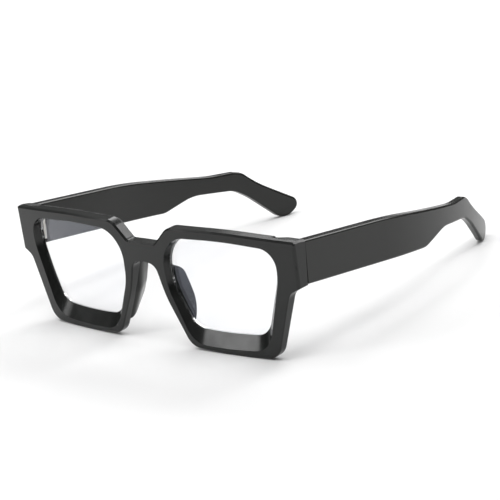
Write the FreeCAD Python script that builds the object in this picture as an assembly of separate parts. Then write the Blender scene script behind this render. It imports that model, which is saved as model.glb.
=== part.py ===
"""Full-rim acetate glasses: front, lenses, pads, folding temples and barrel hinges.

Millimetres. +Z is up, +X is the wearer's left, -Y is the way the wearer looks.
The glasses stand on the lower edges of both rims and on both temple tips, at Z = 0.
Every side piece is drawn for the left side (+X) and mirrored in X = 0 for the right side.
"""
import FreeCAD, Part
import math
import os

V = FreeCAD.Vector

# ---------------------------------------------------------------- driving dimensions
HALF_WIDTH = 72.4          # centre plane to the outer face of endpiece and temple
FRONT_RADIUS = 546.0       # bow of the front, a nearly vertical cylinder
FRONT_TILT = 0.8           # degrees that the front face leans: its lower edge is forward
REAR_TILT = 2.4            # the rear face leans more, so the rims are thinner low down
TILT_PIVOT_Z = 46.0
RIM_DEPTH = 5.0            # front face to rear face, at the top of the rims
TOP_CHAMFER = 0.7          # along the top edge of the front face
RIM_EDGE_FILLET = 0.5      # the other outer edges of the front face
SIDE_EDGE_FILLET = 1.2     # front corner of the endpiece
REAR_EDGE_FILLET = 0.8
BEVEL_EDGE_FILLET = 0.25
BOSS_BOTTOM_Z = 27.6
BOSS_TOP_Z = 50.0
BOSS_START = (61.0, 7.4)   # (x, y) where the boss leaves the rear face, at 45 degrees
BOSS_FULL = (65.6, 12.0)   # (x, y) where the boss has its full depth
ENDPIECE_TOP_START = (6.2, 45.9)   # (y, z) where the endpiece's top face starts to slope
ENDPIECE_TOP_SLOPE = 11.3          # degrees

LENS_WRAP = 3.91           # degrees that each lens plane turns back from the centre
LENS_PIVOT_X = 10.5        # the lens planes turn about a vertical line here
BEVEL_DEPTH = 2.2          # the front bevel runs this deep, down to the lens
BEVEL_RUN_OUT = 1.0        # how far in front of the lens plane the bevel is cut
LENS_RADIUS = 330.0        # front surface of the lens
LENS_THICKNESS = 1.6
LENS_CROWN = 0.5           # the lens centre stands this far in front of the bevel's foot
LENS_CENTRE = (36.5, 25.0)
TONGUE_HEIGHT = 0.7        # lens edge that sits in the groove of the rim
TONGUE_WIDTH = 0.7

TEMPLE_THICKNESS = 4.4
TEMPLE_STRAIGHT_TO = 55.0  # the temples run straight back to here, then toe in
TEMPLE_OUTER_RADIUS = 185.0
TEMPLE_INNER_RADIUS = 196.5
TEMPLE_REACH = 94.0        # the arcs are drawn this far past the straight part
TEMPLE_EDGE_FILLET = 0.8
WIRE_WIDTH = 1.2
WIRE_HEIGHT = 1.6

HINGE_AXIS_X = 66.2
HINGE_TILT = 5.5           # degrees that the hinge axis leans back at its top
SEAM_Y = 10.13             # seam between endpiece and temple, at height SEAM_Z
SEAM_Z = 35.0
SEAM_OFFSET = 1.5          # hinge axis to the seam plane
SEAM_GAP = 0.05
BARREL_RADIUS = 1.42
BARREL_COUNT = 5
BARREL_STACK = 8.0
BARREL_GAP = 0.06
PIN_RADIUS = 0.7
PIN_CLEARANCE = 0.05
LEAF_THICKNESS = 0.9
LEAF_HALF_HEIGHT = 4.3
LEAF_COVER = 0.5           # acetate over the embedded plate of each leaf
LEAF_INNER_X = -1.6        # the front leaf's plate, from the hinge axis
LEAF_OUTER_X = 5.0
TEMPLE_LEAF_LENGTH = 9.5
PIN_HEAD_RADIUS = 1.1
PIN_HEAD_HEIGHT = 0.6
SLOT_WIDTH = 0.3
SLOT_DEPTH = 0.25

FAR = 60.0                 # larger than any local reach of a cutting tool
TOLERANCE = 0.02           # for finding edges by their place

# ---------------------------------------------------------------- outlines
# Corner points with their radius, on the left half: (x, z, radius).
FRONT_HALF = [
    (7.1, 39.9, 1.6), (14.3, 46.9, 7.0), (40.0, 47.15, 300.0), (HALF_WIDTH, 45.6, 0.0),
    (72.2, 28.4, 0.0), (67.5, 26.0, 4.6), (59.1, 0.7, 6.8), (48.0, 0.0, 60.0), (33.0, 0.0, 60.0),
    (18.6, 1.0, 6.8), (9.1, 19.5, 40.0), (5.8, 31.4, 4.4),
]
BRIDGE_TOP_Z = 40.0
BRIDGE_BOTTOM_Z = 32.3

# The lens opening at the foot of the bevel, and the bevel's outer edge in the same order.
LENS_OUTLINE = [
    (40.0, 43.8, 200.0), (62.3, 42.1, 6.0), (61.9, 31.0, 30.0), (54.3, 8.3, 8.5),
    (37.0, 7.2, 200.0), (20.0, 8.0, 8.5), (12.0, 23.0, 20.0), (11.4, 42.9, 12.0),
]
BEVEL_OUTLINE = [
    (40.0, 43.8, 200.0), (63.8, 42.1, 7.5), (63.7, 31.0, 18.0), (55.5, 4.0, 9.0),
    (37.0, 3.3, 300.0), (19.9, 3.4, 9.0), (10.9, 23.6, 22.0), (10.2, 43.0, 12.0),
]

# Nose pad sections from inside the rim to the pad's crest: (depth y, [(x, z, radius), ...]).
NOSE_PAD_SECTIONS = [
    (2.2, [(16.8, 6.2, 0.7), (9.8, 19.0, 14.0), (7.2, 30.8, 0.7),
           (9.6, 30.2, 0.7), (11.6, 20.0, 14.0), (18.4, 7.0, 0.7)]),
    (4.2, [(15.5, 6.2, 0.9), (8.7, 19.0, 14.0), (6.0, 31.0, 0.9),
           (9.7, 30.4, 0.9), (12.2, 20.0, 14.0), (18.0, 7.6, 0.9)]),
    (6.8, [(15.0, 8.8, 0.8), (9.3, 19.4, 12.0), (6.5, 30.2, 0.8),
           (9.9, 29.7, 0.8), (12.4, 20.0, 12.0), (17.2, 10.2, 0.8)]),
    (9.2, [(14.0, 13.0, 0.7), (10.3, 20.0, 10.0), (7.6, 28.8, 0.7),
           (10.3, 28.4, 0.7), (12.7, 20.6, 10.0), (15.8, 14.2, 0.7)]),
    (10.7, [(12.4, 18.2, 0.4), (11.0, 21.8, 6.0), (9.3, 26.2, 0.4),
            (10.9, 26.0, 0.4), (12.5, 21.8, 6.0), (13.5, 18.8, 0.4)]),
]

# The temple from the side: (y, z, radius).
TEMPLE_SIDE = [
    (9.0, 44.9, 0.0), (60.0, 37.1, 250.0), (104.0, 26.7, 60.0), (117.3, 25.2, 9.0),
    (124.2, 18.1, 60.0), (142.8, 4.6, 3.6), (133.8, -1.74, 5.5), (119.8, 12.9, 40.0),
    (113.4, 17.6, 12.0), (93.6, 21.1, 22.0), (78.4, 18.3, 10.0), (9.0, 28.6, 0.0),
]

# Centre line of the core wire from the side: (y, z).
WIRE_LINE = [(9.0, 38.6), (90.0, 25.6), (111.0, 21.3), (128.0, 7.0)]


# ---------------------------------------------------------------- drawing helpers
def rounded_wire(corners, to_3d):
    """Closed wire of straight runs and tangent arcs through the corners (a, b, radius)."""
    count = len(corners)
    stops = []
    for i, (a, b, radius) in enumerate(corners):
        here = V(a, b, 0)
        before = V(*corners[i - 1][:2], 0) - here
        after = V(*corners[(i + 1) % count][:2], 0) - here
        half_angle = before.getAngle(after) / 2
        if radius == 0:
            stops.append((here, None, here))
            continue
        cut = radius / math.tan(half_angle)
        middle_way = (before.normalize() + after.normalize()).normalize()
        centre = here + middle_way * (radius / math.sin(half_angle))
        stops.append((here + before * cut, centre - middle_way * radius, here + after * cut))
    edges = []
    for i, (first, middle, last) in enumerate(stops):
        start = stops[i - 1][2]
        side = V(*corners[i][:2], 0) - V(*corners[i - 1][:2], 0)
        if side.dot(first - start) < -1e-6:
            raise ValueError(f"the rounding of corner {i} runs past its neighbour's")
        if start.distanceToPoint(first) > 1e-6:
            edges.append(Part.makeLine(to_3d(start), to_3d(first)))
        if middle is not None:
            edges.append(Part.Arc(to_3d(first), to_3d(middle), to_3d(last)).toShape())
    return Part.Wire(edges)


def in_front_plane(y):
    """Places a drawing point (x, z) in the vertical plane at depth y."""
    return lambda p: V(p.x, y, p.y)


def in_side_plane(x):
    """Places a drawing point (y, z) in the vertical plane at x."""
    return lambda p: V(x, p.x, p.y)


def prism(wire, direction):
    return Part.Face(wire).extrude(direction)


def box(low, high):
    size = [b - a for a, b in zip(low, high)]
    return Part.makeBox(*size, V(*low))


def mirrored(shape):
    return shape.mirror(V(0, 0, 0), V(1, 0, 0))


def edges_where(shape, test):
    """The edges whose every sampled point passes the test."""
    chosen = []
    for edge in shape.Edges:
        points = edge.discretize(7)
        if all(test(p) for p in points):
            chosen.append(edge)
    return chosen


def leaning(shape, tilt):
    """Leans a shape drawn for a vertical front: what is below the pivot goes forward."""
    leaned = shape.copy()
    leaned.rotate(V(0, 0, TILT_PIVOT_Z), V(1, 0, 0), -tilt)
    return leaned


def behind_front(depth, tilt):
    """Everything behind a surface that lies this deep behind the front face at the top."""
    cylinder = Part.makeCylinder(FRONT_RADIUS - depth, 4 * FAR, V(0, FRONT_RADIUS, -2 * FAR))
    return leaning(cylinder, tilt)


def front_face_y(x):
    """Depth of the untilted front face at x."""
    return FRONT_RADIUS - math.sqrt(FRONT_RADIUS ** 2 - x ** 2)


def lies_on(p, depth, tilt):
    """True if the point is on the surface that behind_front(depth, tilt) starts with."""
    upright = FreeCAD.Rotation(V(1, 0, 0), tilt).multVec(p - V(0, 0, TILT_PIVOT_Z))
    reach = math.hypot(upright.x, FRONT_RADIUS - upright.y)
    return abs(reach - (FRONT_RADIUS - depth)) < TOLERANCE


def in_hinge_frame(shape):
    """Moves a shape drawn about the hinge axis (Z) to its place on the left side."""
    tilt = math.radians(HINGE_TILT)
    axis_y = SEAM_Y + SEAM_OFFSET * math.cos(tilt)
    axis_z = SEAM_Z - SEAM_OFFSET * math.sin(tilt)
    placed = shape.copy()
    placed.rotate(V(0, 0, 0), V(1, 0, 0), -HINGE_TILT)
    placed.translate(V(HINGE_AXIS_X, axis_y, axis_z))
    return placed


def in_lens_frame(shape):
    """Moves a shape drawn on the unwrapped lens plane (y = 0) to its place on the left side."""
    placed = shape.copy()
    placed.translate(V(0, front_face_y(LENS_PIVOT_X), 0))
    placed.rotate(V(LENS_PIVOT_X, front_face_y(LENS_PIVOT_X), 0), V(0, 0, 1), LENS_WRAP)
    return leaning(placed, FRONT_TILT)


# ---------------------------------------------------------------- lens and its seat
def grown(outline, margin):
    """The outline moved outwards by the margin, corner by corner."""
    wire = rounded_wire(outline, in_front_plane(0))
    return wire.makeOffset2D(margin)


def lens_shell(front_shift, thickness):
    """A spherical shell with its front this far behind the lens's front surface."""
    centre_y = BEVEL_DEPTH - LENS_CROWN + LENS_RADIUS
    centre = V(LENS_CENTRE[0], centre_y, LENS_CENTRE[1])
    outer = Part.makeSphere(LENS_RADIUS - front_shift, centre)
    inner = Part.makeSphere(LENS_RADIUS - front_shift - thickness, centre)
    return outer.cut(inner)


def lens_body():
    clear_part = prism(rounded_wire(LENS_OUTLINE, in_front_plane(0)), V(0, 12, 0))
    tongue = Part.Face(grown(LENS_OUTLINE, TONGUE_HEIGHT)).extrude(V(0, 12, 0))
    tongue_shift = (LENS_THICKNESS - TONGUE_WIDTH) / 2
    body = clear_part.common(lens_shell(0, LENS_THICKNESS))
    body = body.fuse(tongue.common(lens_shell(tongue_shift, TONGUE_WIDTH))).removeSplitter()
    return in_lens_frame(body)


def bevel_tool():
    """Cuts the lens opening and the wide bevel that leads down to it."""
    run_out = []
    for outer, inner in zip(BEVEL_OUTLINE, LENS_OUTLINE):
        step = BEVEL_RUN_OUT / BEVEL_DEPTH
        run_out.append(tuple(a + (a - b) * step for a, b in zip(outer, inner)))
    front_wire = rounded_wire(run_out, in_front_plane(-BEVEL_RUN_OUT))
    foot_wire = rounded_wire(LENS_OUTLINE, in_front_plane(BEVEL_DEPTH))
    bevel = Part.makeLoft([front_wire, foot_wire], True, True)
    through = prism(foot_wire, V(0, 12, 0))
    return in_lens_frame(bevel.fuse(through))


# ---------------------------------------------------------------- front
def front_outline():
    left = [(0.0, BRIDGE_TOP_Z, 0.0)] + FRONT_HALF + [(0.0, BRIDGE_BOTTOM_Z, 0.0)]
    right = [(-x, z, radius) for x, z, radius in reversed(FRONT_HALF)]
    return left + right


def is_top_edge(p):
    """True along the top of the outline, down into the bridge's notch."""
    return p.z > BRIDGE_TOP_Z - 1.2 + 0.7 * max(0.0, min(abs(p.x), 16.0) - 8.0)


def endpiece_boss(full_prism):
    """The thick rear of the endpiece, which carries the hinge and meets the temple."""
    start_x, start_y = BOSS_START
    full_x, full_y = BOSS_FULL
    plan = Part.makePolygon([
        V(start_x, 0, BOSS_BOTTOM_Z), V(start_x, start_y, BOSS_BOTTOM_Z), V(full_x, full_y, BOSS_BOTTOM_Z),
        V(FAR + start_x, full_y, BOSS_BOTTOM_Z), V(FAR + start_x, 0, BOSS_BOTTOM_Z),
        V(start_x, 0, BOSS_BOTTOM_Z),
    ])
    boss = prism(plan, V(0, 0, BOSS_TOP_Z - BOSS_BOTTOM_Z)).common(full_prism)
    boss = boss.common(behind_front(0, FRONT_TILT))
    return boss.cut([behind_seam(), above_endpiece()])


def behind_seam():
    """Everything on the temple's side of the seam plane."""
    return in_hinge_frame(box((-FAR / 3, -SEAM_OFFSET, -FAR), (FAR / 3, FAR, FAR)))


def above_endpiece():
    """The space above the endpiece's top face, which slopes down to the temple."""
    block = box((0, 0, 0), (FAR, FAR, FAR))
    block.rotate(V(0, 0, 0), V(1, 0, 0), -ENDPIECE_TOP_SLOPE)
    block.translate(V(BOSS_START[0], *ENDPIECE_TOP_START))
    return block


def front_body():
    full_prism = prism(rounded_wire(front_outline(), in_front_plane(-FAR)), V(0, 2 * FAR, 0))
    plate = full_prism.common(behind_front(0, FRONT_TILT)).cut(behind_front(RIM_DEPTH, REAR_TILT))
    rear_edges = edges_where(plate, lambda p: lies_on(p, RIM_DEPTH, REAR_TILT))
    plate = plate.makeFillet(REAR_EDGE_FILLET, rear_edges)

    left_boss = endpiece_boss(full_prism)
    left_opening = bevel_tool()
    endpiece_space = [behind_seam(), above_endpiece()]
    body = plate.cut(endpiece_space + [mirrored(space) for space in endpiece_space])
    body = body.fuse([left_boss, mirrored(left_boss)]).removeSplitter()
    body = body.cut([left_opening, mirrored(left_opening)])

    def on_front_face(p):
        return lies_on(p, 0, FRONT_TILT)

    def on_endpiece_top_corner(p):
        return abs(p.x) > HALF_WIDTH - 0.1 and p.z > 43.0

    top_edges = edges_where(body, lambda p: on_front_face(p) and is_top_edge(p))
    top_edges += edges_where(body, on_endpiece_top_corner)
    body = body.makeChamfer(TOP_CHAMFER, top_edges)

    def on_side_edge(p):
        return on_front_face(p) and abs(p.x) > HALF_WIDTH - 0.3

    body = body.makeFillet(SIDE_EDGE_FILLET, edges_where(body, on_side_edge))

    outline = rounded_wire(front_outline(), in_front_plane(0))

    def on_outline(p):
        return outline.distToShape(Part.Vertex(V(p.x, 0, p.z)))[0] < TOLERANCE

    outer_edges = edges_where(body, lambda p: on_front_face(p) and on_outline(p))
    body = body.makeFillet(RIM_EDGE_FILLET, outer_edges)

    def on_opening(p):
        return on_front_face(p) and not on_outline(p) and not is_top_edge(p) and abs(p.x) < BOSS_FULL[0]

    return body.makeFillet(BEVEL_EDGE_FILLET, edges_where(body, on_opening))


# ---------------------------------------------------------------- nose pads
def nose_pad(front):
    """A fixed pad: a crescent that grows from the rear of the rim towards the nose's flank."""
    sections = []
    for depth, corners in NOSE_PAD_SECTIONS:
        sections.append(rounded_wire(corners, in_front_plane(depth)))
    blank = Part.makeLoft(sections, True, False)
    return blank.common(behind_front(0, FRONT_TILT)).cut(front)


# ---------------------------------------------------------------- temple
def plan_wire(outer_x, inner_x, outer_radius, inner_radius):
    """Plan of a temple: straight to TEMPLE_STRAIGHT_TO, then two arcs that toe in."""
    def on_arc(x, radius, along):
        return V(x - radius + math.sqrt(radius ** 2 - along ** 2), TEMPLE_STRAIGHT_TO + along, 0)

    def arc(x, radius):
        points = [on_arc(x, radius, along) for along in (0, TEMPLE_REACH / 2, TEMPLE_REACH)]
        return Part.Arc(*points).toShape()

    outer_end = on_arc(outer_x, outer_radius, TEMPLE_REACH)
    inner_end = on_arc(inner_x, inner_radius, TEMPLE_REACH)
    wire = Part.Wire([
        Part.makeLine(V(outer_x, 0, 0), V(outer_x, TEMPLE_STRAIGHT_TO, 0)),
        arc(outer_x, outer_radius),
        Part.makeLine(outer_end, inner_end),
        arc(inner_x, inner_radius),
        Part.makeLine(V(inner_x, TEMPLE_STRAIGHT_TO, 0), V(inner_x, 0, 0)),
        Part.makeLine(V(inner_x, 0, 0), V(outer_x, 0, 0)),
    ])
    wire.translate(V(0, 0, -FAR))
    return wire


def side_prism(corners):
    """A side view in (y, z, radius) corners, drawn through the whole width of the left side."""
    return prism(rounded_wire(corners, in_side_plane(0)), V(2 * FAR, 0, 0))


def temple_blank():
    """The temple with its edges rounded, before its hinge seat and core wire are cut."""
    inner_x = HALF_WIDTH - TEMPLE_THICKNESS
    plan = plan_wire(HALF_WIDTH, inner_x, TEMPLE_OUTER_RADIUS, TEMPLE_INNER_RADIUS)
    bar = side_prism(TEMPLE_SIDE).common(prism(plan, V(0, 0, 2 * FAR)))
    long_edges = [edge for edge in bar.Edges if not is_crosswise(edge)]
    return bar.makeFillet(TEMPLE_EDGE_FILLET, long_edges)


def is_crosswise(edge):
    """True for an edge that runs across the temple's thickness, or bounds its square front end."""
    points = edge.discretize(3)
    start_y = TEMPLE_SIDE[0][0]
    if max(p.y for p in points) < start_y + 0.1:
        return True
    return abs(points[0].x - points[-1].x) > 2.5 and abs(points[0].y - points[-1].y) < 2.0


def core_wire():
    half = WIRE_HEIGHT / 2
    upper = [(y, z + half, 0.0) for y, z in WIRE_LINE]
    lower = [(y, z - half, 0.0) for y, z in reversed(WIRE_LINE)]
    middle = HALF_WIDTH - TEMPLE_THICKNESS / 2
    radius = (TEMPLE_OUTER_RADIUS + TEMPLE_INNER_RADIUS) / 2
    plan = plan_wire(middle + WIRE_WIDTH / 2, middle - WIRE_WIDTH / 2, radius, radius)
    return side_prism(upper + lower).common(prism(plan, V(0, 0, 2 * FAR))).cut(before_temple())


def before_temple():
    """Everything on the front's side of the temple's square end."""
    return in_hinge_frame(box((-FAR / 3, -FAR, -FAR), (FAR / 3, SEAM_GAP - SEAM_OFFSET, FAR)))


# ---------------------------------------------------------------- hinge, drawn about its axis
# In the hinge frame X points outwards, Y back along the temple and Z up the hinge axis.
def barrel_slices(first):
    """(low, high) of every second barrel of the stack, from the given one."""
    pitch = BARREL_STACK / BARREL_COUNT
    slices = []
    for i in range(first, BARREL_COUNT, 2):
        low = -BARREL_STACK / 2 + i * pitch
        slices.append((low + BARREL_GAP / 2, low + pitch - BARREL_GAP / 2))
    return slices


def with_barrels(plate, first, web_low, web_high):
    """The plate with every second barrel from the given one, each on its own web."""
    pieces = []
    for low, high in barrel_slices(first):
        pieces.append(box((*web_low, low), (*web_high, high)))
        pieces.append(Part.makeCylinder(BARREL_RADIUS, high - low, V(0, 0, low)))
    return plate.fuse(pieces).removeSplitter()


def front_leaf_blank():
    back = -SEAM_OFFSET - LEAF_COVER
    plate = box((LEAF_INNER_X, back - LEAF_THICKNESS, -LEAF_HALF_HEIGHT),
                (LEAF_OUTER_X, back, LEAF_HALF_HEIGHT))
    return with_barrels(plate, 0, (-BARREL_RADIUS, back), (BARREL_RADIUS, 0))


def front_leaf():
    low_end = -BARREL_STACK / 2
    first_top = low_end + BARREL_STACK / BARREL_COUNT
    threaded = Part.makeCylinder(PIN_RADIUS, BARREL_STACK / BARREL_COUNT, V(0, 0, low_end))
    bored = Part.makeCylinder(PIN_RADIUS + PIN_CLEARANCE, BARREL_STACK, V(0, 0, first_top))
    head_z = BARREL_STACK / 2 - PIN_HEAD_HEIGHT
    seat = Part.makeCylinder(PIN_HEAD_RADIUS, PIN_HEAD_HEIGHT, V(0, 0, head_z))
    return front_leaf_blank().cut([threaded, bored, seat])


def temple_leaf_blank():
    face = HALF_WIDTH - TEMPLE_THICKNESS - HINGE_AXIS_X + LEAF_COVER
    plate = box((face, SEAM_GAP - SEAM_OFFSET + LEAF_COVER, -LEAF_HALF_HEIGHT),
                (face + LEAF_THICKNESS, TEMPLE_LEAF_LENGTH, LEAF_HALF_HEIGHT))
    return with_barrels(plate, 1, (0, SEAM_GAP - BARREL_RADIUS), (face, BARREL_RADIUS))


def temple_leaf():
    bored = Part.makeCylinder(PIN_RADIUS + PIN_CLEARANCE, BARREL_STACK, V(0, 0, -BARREL_STACK / 2))
    return temple_leaf_blank().cut(bored)


def hinge_screw():
    """The hinge's pin: a slotted screw from above, in the front leaf's lowest barrel."""
    top = BARREL_STACK / 2
    shank = Part.makeCylinder(PIN_RADIUS, BARREL_STACK - PIN_HEAD_HEIGHT, V(0, 0, -top))
    head = Part.makeCylinder(PIN_HEAD_RADIUS, PIN_HEAD_HEIGHT, V(0, 0, top - PIN_HEAD_HEIGHT))
    slot = box((-PIN_HEAD_RADIUS, -SLOT_WIDTH / 2, top - SLOT_DEPTH), (PIN_HEAD_RADIUS, SLOT_WIDTH / 2, top))
    return shank.fuse(head).removeSplitter().cut(slot)


# ---------------------------------------------------------------- assembly
def left_parts():
    """Every piece of the left side but the pad, in place, with its seats cut."""
    parts = {
        "hinge_front_leaf": in_hinge_frame(front_leaf()),
        "hinge_temple_leaf": in_hinge_frame(temple_leaf()),
        "hinge_screw": in_hinge_frame(hinge_screw()),
        "lens": lens_body(),
        "core_wire": core_wire(),
    }
    seats = [before_temple(), parts["core_wire"], in_hinge_frame(temple_leaf_blank())]
    parts["temple"] = temple_blank().cut(seats)
    return parts


def main():
    os.makedirs("parts", exist_ok=True)
    left = left_parts()
    seats = [in_hinge_frame(front_leaf_blank()), left["lens"]]
    front = front_body()
    left["nose_pad"] = nose_pad(front)

    parts = {"front_frame": front.cut(seats + [mirrored(seat) for seat in seats])}
    for name, shape in left.items():
        parts[f"{name}_left"] = shape
        parts[f"{name}_right"] = mirrored(shape)
    whole = Part.makeCompound(list(parts.values())).optimalBoundingBox()
    to_centre = V(0, -(whole.YMin + whole.YMax) / 2, -whole.ZMin)
    for name, shape in parts.items():
        shape.translate(to_centre)
        shape.exportStep(f"parts/{name}.step")


if __name__ == "__main__":
    main()
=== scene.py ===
"""Blender looks for the full-rim acetate glasses. Metres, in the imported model's own frame.

Every CAD node stays as it is and takes a procedural material here. The floor, the lights
and the camera stand round it.
"""
import bpy
import math
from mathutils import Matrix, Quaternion, Vector

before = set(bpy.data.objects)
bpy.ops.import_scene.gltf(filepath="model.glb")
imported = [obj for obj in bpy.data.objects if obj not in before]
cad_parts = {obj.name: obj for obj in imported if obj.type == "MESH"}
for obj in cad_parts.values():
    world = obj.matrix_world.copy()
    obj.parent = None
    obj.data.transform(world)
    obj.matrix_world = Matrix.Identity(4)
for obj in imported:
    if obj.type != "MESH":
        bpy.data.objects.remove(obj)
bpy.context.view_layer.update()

# ---------------------------------------------------------------- camera
CAMERA_PLACE = Vector((0.5592, -0.58092, 0.2772))
CAMERA_AIM = Vector((0.00346, -0.01681, 0.01865))
CAMERA_ROLL = math.radians(-9.02)      # the picture leans to its right
CAMERA_LENS = 154.4                    # mm, on a 36 mm sensor
CAMERA_CLIP = (0.01, 50.0)

# ---------------------------------------------------------------- floor and light
FLOOR_HALF = 6.0
FLOOR_COLOUR = (0.9, 0.9, 0.9, 1.0)
FLOOR_ROUGHNESS = 0.9

WORLD_COLOUR = (1.0, 1.0, 1.0, 1.0)
HORIZON_STRENGTH = 0.06                # dark low down, so upright faces don't wash out
ZENITH_STRENGTH = 0.30
HORIZON_BAND = (0.1, 0.4)              # sines of the heights between which the sky brightens

# Soft boxes: name, azimuth and elevation in degrees, distance, width, height, watts.
# Azimuth 0 is in front of the glasses, and 90 is at the wearer's left.
SOFT_BOXES = [
    ("top_light", 20.0, 86.0, 1.6, 1.6, 1.6, 18.0),
    ("key_light", -40.0, 29.0, 1.3, 0.4, 0.45, 3.2),
    ("back_light", 190.0, 38.0, 1.6, 1.9, 0.5, 13.0),
    ("rim_light", 157.0, 44.0, 1.5, 0.35, 0.4, 2.4),
    ("side_light", -75.0, 47.0, 1.4, 0.4, 0.4, 1.2),
]
LIGHT_TARGET = Vector((0.0, -0.02, 0.02))

# ---------------------------------------------------------------- material values
EVEN = (1.0, 1.0, 1.0)                 # noise that isn't stretched
ALONG_X = (8.0, 1.0, 1.0)
ALONG_Y = (1.0, 8.0, 1.0)
ALONG_Z = (1.0, 1.0, 8.0)
ALONG_TEMPLE = (1.0, 4.0, 1.0)
NOISE_MIDDLE = (0.3, 0.7)              # the part of the noise's values that is spread out

PLASTIC_IOR = 1.5                      # of acetate and lens alike

ACETATE_ROUGHNESS = 0.2
ACETATE_ROUGHNESS_SWING = 0.03
ACETATE_SPECULAR = 0.4
CLOUD_SCALE = 60.0
POLISH_SCALE = 220.0
GRAIN_SCALE = 2600.0
GRAIN_STRENGTH = 0.05

STREAK_SCALE = 3000.0
STREAK_STRENGTH = 0.1
STREAK_SHADE = 0.85                    # the darkest streak, as a share of the metal's colour
STREAK_ROUGHNESS = (-0.05, 0.08)       # added to the metal's roughness, from streak to streak

BUMP_HEIGHT = 0.00002

LENS_PALE = (0.99, 0.99, 1.0, 1.0)
LENS_DEEP = (0.97, 0.98, 1.0, 1.0)
LENS_TINT = (0.75, 0.8, 1.0, 1.0)      # the coating's reflection
LENS_SPECULAR = 0.6
HAZE_SCALE = 40.0
EDGE_FACING = 0.6                      # a lens face that looks less forward than this is its edge
# painted reflection: the dark blue on the lens's edge faces stands in for the dark rim seen through
# the lens
PAINTED_EDGE_REFLECTION = (0.02, 0.02, 0.16, 1.0)


# ---------------------------------------------------------------- node helpers
def give(tree, socket, value):
    """Feed an input from another node's socket, or set it to a value."""
    if isinstance(value, bpy.types.NodeSocket):
        tree.links.new(value, socket)
    else:
        socket.default_value = value


def add_node(tree, kind, inputs=None, **settings):
    """Add one shader node. An input may be a value or the socket that feeds it."""
    node = tree.nodes.new(kind)
    for name, value in settings.items():
        setattr(node, name, value)
    for name, value in (inputs or {}).items():
        give(tree, node.inputs[name], value)
    return node


def new_material(name):
    material = bpy.data.materials.new(name)
    material.use_nodes = True
    material.node_tree.nodes.clear()
    return material, material.node_tree


def close_material(tree, surface, bump=None):
    output = add_node(tree, "ShaderNodeOutputMaterial")
    tree.links.new(surface.outputs["BSDF"], output.inputs["Surface"])
    if bump:
        tree.links.new(bump.outputs["Normal"], surface.inputs["Normal"])


def noise(tree, scale, detail, stretch=EVEN, roughness=0.5):
    """Value noise in the object's own coordinates. Stretch divides the scale along each axis."""
    place = add_node(tree, "ShaderNodeTexCoord")
    mapping = add_node(tree, "ShaderNodeMapping", {
        "Vector": place.outputs["Object"], "Scale": [1.0 / s for s in stretch],
    })
    texture = add_node(tree, "ShaderNodeTexNoise", {
        "Vector": mapping.outputs["Vector"], "Scale": scale, "Detail": detail,
        "Roughness": roughness,
    })
    return texture.outputs["Fac"]


def ranged(tree, value, low, high):
    """Spread the middle of a noise's values over low..high."""
    start, end = NOISE_MIDDLE
    mapped = add_node(tree, "ShaderNodeMapRange", {
        "Value": value, "From Min": start, "From Max": end, "To Min": low, "To Max": high,
    })
    return mapped.outputs["Result"]


def mixed_colour(tree, factor, first, second):
    """Mix two colours, each a value or a socket."""
    mix = add_node(tree, "ShaderNodeMix", {"Factor": factor}, data_type="RGBA")
    colour_inputs = [socket for socket in mix.inputs if socket.type == "RGBA"]
    for socket, value in zip(colour_inputs, (first, second)):
        give(tree, socket, value)
    return next(socket for socket in mix.outputs if socket.type == "RGBA")


def bumps(tree, height, strength):
    return add_node(tree, "ShaderNodeBump", {
        "Height": height, "Strength": strength, "Distance": BUMP_HEIGHT,
    })


# ---------------------------------------------------------------- materials
def acetate(name, dark, pale, stretch):
    """Tumbled acetate: almost black, faintly clouded, with a soft polish and a fine grain."""
    material, tree = new_material(name)
    clouds = noise(tree, CLOUD_SCALE, detail=4.0, stretch=stretch, roughness=0.6)
    polish = noise(tree, POLISH_SCALE, detail=3.0, stretch=stretch)
    grain = noise(tree, GRAIN_SCALE, detail=2.0)
    smoothest = ACETATE_ROUGHNESS - ACETATE_ROUGHNESS_SWING
    roughest = ACETATE_ROUGHNESS + ACETATE_ROUGHNESS_SWING
    surface = add_node(tree, "ShaderNodeBsdfPrincipled", {
        "Base Color": mixed_colour(tree, ranged(tree, clouds, 0.0, 1.0), dark, pale),
        "Roughness": ranged(tree, polish, smoothest, roughest),
        "IOR": PLASTIC_IOR,
        "Specular IOR Level": ACETATE_SPECULAR,
    })
    close_material(tree, surface, bumps(tree, grain, GRAIN_STRENGTH))
    return material


def metal(name, colour, roughness, stretch):
    """Brushed steel: the polish and a fine bump run in streaks."""
    material, tree = new_material(name)
    streaks = noise(tree, STREAK_SCALE, detail=3.0, stretch=stretch)
    shade = [c * STREAK_SHADE for c in colour[:3]] + [1.0]
    smoothest, roughest = [roughness + swing for swing in STREAK_ROUGHNESS]
    surface = add_node(tree, "ShaderNodeBsdfPrincipled", {
        "Base Color": mixed_colour(tree, ranged(tree, streaks, 0.0, 1.0), shade, colour),
        "Roughness": ranged(tree, streaks, smoothest, roughest),
        "Metallic": 1.0,
    })
    close_material(tree, surface, bumps(tree, streaks, STREAK_STRENGTH))
    return material


def lens_edge(tree):
    """1 on the faces round the lens, which don't look forwards or back, and 0 elsewhere. The
    painted reflection of the rim goes on these faces.
    """
    facing = add_node(tree, "ShaderNodeTexCoord")
    split = add_node(tree, "ShaderNodeSeparateXYZ", {"Vector": facing.outputs["Normal"]})
    forward = add_node(tree, "ShaderNodeMath", {0: split.outputs["Y"]}, operation="ABSOLUTE")
    edge = add_node(tree, "ShaderNodeMath", {0: forward.outputs["Value"], 1: EDGE_FACING},
                    operation="LESS_THAN")
    return edge.outputs["Value"]


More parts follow.
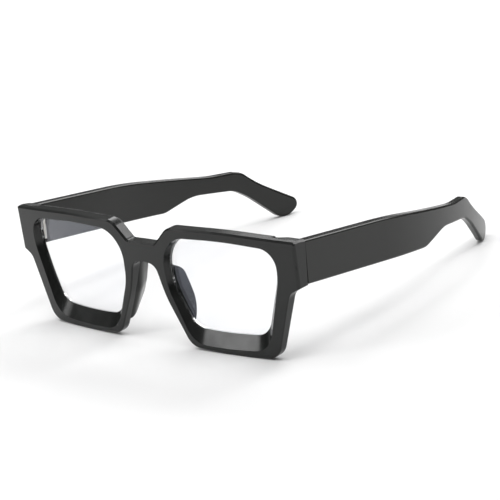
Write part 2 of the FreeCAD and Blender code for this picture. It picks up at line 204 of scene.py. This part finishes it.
def lens_glass(name):
    """Clear lens with a bluish coating. Its edge faces are painted dark blue, a painted reflection
    of the dark rim seen through the lens.
    """
    material, tree = new_material(name)
    haze = noise(tree, HAZE_SCALE, detail=2.0)
    clear = mixed_colour(tree, ranged(tree, haze, 0.0, 1.0), LENS_PALE, LENS_DEEP)
    surface = add_node(tree, "ShaderNodeBsdfPrincipled", {
        # the edge faces take the painted reflection of the dark rim, in dark blue
        "Base Color": mixed_colour(tree, lens_edge(tree), clear, PAINTED_EDGE_REFLECTION),
        "Roughness": 0.0,
        "IOR": PLASTIC_IOR,
        "Transmission Weight": 1.0,
        "Specular Tint": LENS_TINT,
        "Specular IOR Level": LENS_SPECULAR,
    })
    close_material(tree, surface)
    return material


def dress_nodes():
    """Give each CAD node its material. Left and right nodes share one."""
    hinge_look = metal("hinge_metal_look", (0.62, 0.61, 0.58, 1.0), roughness=0.28, stretch=ALONG_Z)
    looks = {
        "front_frame": acetate("front_acetate_look", (0.0050, 0.0060, 0.0055, 1.0),
                               (0.0080, 0.0088, 0.0078, 1.0), EVEN),
        "temple": acetate("temple_acetate_look", (0.0050, 0.0058, 0.0046, 1.0),
                          (0.0080, 0.0085, 0.0070, 1.0), ALONG_TEMPLE),
        "nose_pad": acetate("pad_acetate_look", (0.0050, 0.0060, 0.0050, 1.0),
                            (0.0080, 0.0090, 0.0080, 1.0), EVEN),
        "lens": lens_glass("lens_look"),
        "hinge_front_leaf": hinge_look,
        "hinge_temple_leaf": hinge_look,
        "hinge_screw": metal("screw_metal_look", (0.7, 0.69, 0.66, 1.0),
                             roughness=0.22, stretch=ALONG_X),
        "core_wire": metal("core_metal_look", (0.6, 0.6, 0.58, 1.0),
                           roughness=0.3, stretch=ALONG_Y),
    }
    for name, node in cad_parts.items():
        look = looks[name.removesuffix("_left").removesuffix("_right")]
        for slot in node.material_slots:
            slot.material = look


# ---------------------------------------------------------------- stage
def direction(azimuth, elevation):
    a = math.radians(azimuth)
    e = math.radians(elevation)
    return Vector((math.sin(a) * math.cos(e), -math.cos(a) * math.cos(e), math.sin(e)))


def link(item):
    bpy.context.scene.collection.objects.link(item)


def make_floor():
    corners = [(-FLOOR_HALF, -FLOOR_HALF, 0), (FLOOR_HALF, -FLOOR_HALF, 0),
               (FLOOR_HALF, FLOOR_HALF, 0), (-FLOOR_HALF, FLOOR_HALF, 0)]
    mesh = bpy.data.meshes.new("floor")
    mesh.from_pydata(corners, [], [(0, 1, 2, 3)])
    material, tree = new_material("floor_look")
    surface = add_node(tree, "ShaderNodeBsdfPrincipled", {
        "Base Color": FLOOR_COLOUR, "Roughness": FLOOR_ROUGHNESS, "Specular IOR Level": 0.0,
    })
    close_material(tree, surface)
    mesh.materials.append(material)
    floor = bpy.data.objects.new("floor", mesh)
    link(floor)


def make_world():
    world = bpy.data.worlds.new("studio")
    world.use_nodes = True
    tree = world.node_tree
    tree.nodes.clear()
    place = add_node(tree, "ShaderNodeTexCoord")
    split = add_node(tree, "ShaderNodeSeparateXYZ", {"Vector": place.outputs["Generated"]})
    low, high = HORIZON_BAND
    strength = add_node(tree, "ShaderNodeMapRange", {
        "Value": split.outputs["Z"], "From Min": low, "From Max": high,
        "To Min": HORIZON_STRENGTH, "To Max": ZENITH_STRENGTH,
    })
    background = add_node(tree, "ShaderNodeBackground", {
        "Color": WORLD_COLOUR, "Strength": strength.outputs["Result"],
    })
    output = add_node(tree, "ShaderNodeOutputWorld")
    tree.links.new(background.outputs["Background"], output.inputs["Surface"])
    bpy.context.scene.world = world


def make_soft_box(name, azimuth, elevation, distance, width, height, watts):
    data = bpy.data.lights.new(name, "AREA")
    data.shape = "RECTANGLE"
    data.size = width
    data.size_y = height
    data.energy = watts
    light = bpy.data.objects.new(name, data)
    away = direction(azimuth, elevation)
    light.location = LIGHT_TARGET + away * distance
    light.rotation_mode = "QUATERNION"
    light.rotation_quaternion = (-away).to_track_quat("-Z", "Y")
    light.visible_camera = False
    link(light)


def make_camera():
    data = bpy.data.cameras.new("camera")
    data.lens = CAMERA_LENS
    data.clip_start, data.clip_end = CAMERA_CLIP
    camera = bpy.data.objects.new("camera", data)
    camera.location = CAMERA_PLACE
    camera.rotation_mode = "QUATERNION"
    straight = (CAMERA_AIM - CAMERA_PLACE).to_track_quat("-Z", "Y")
    camera.rotation_quaternion = straight @ Quaternion((0, 0, 1), CAMERA_ROLL)
    link(camera)
    bpy.context.scene.camera = camera


dress_nodes()
make_floor()
make_world()
for soft_box in SOFT_BOXES:
    make_soft_box(*soft_box)
make_camera()
bpy.context.scene.view_settings.view_transform = "Standard"
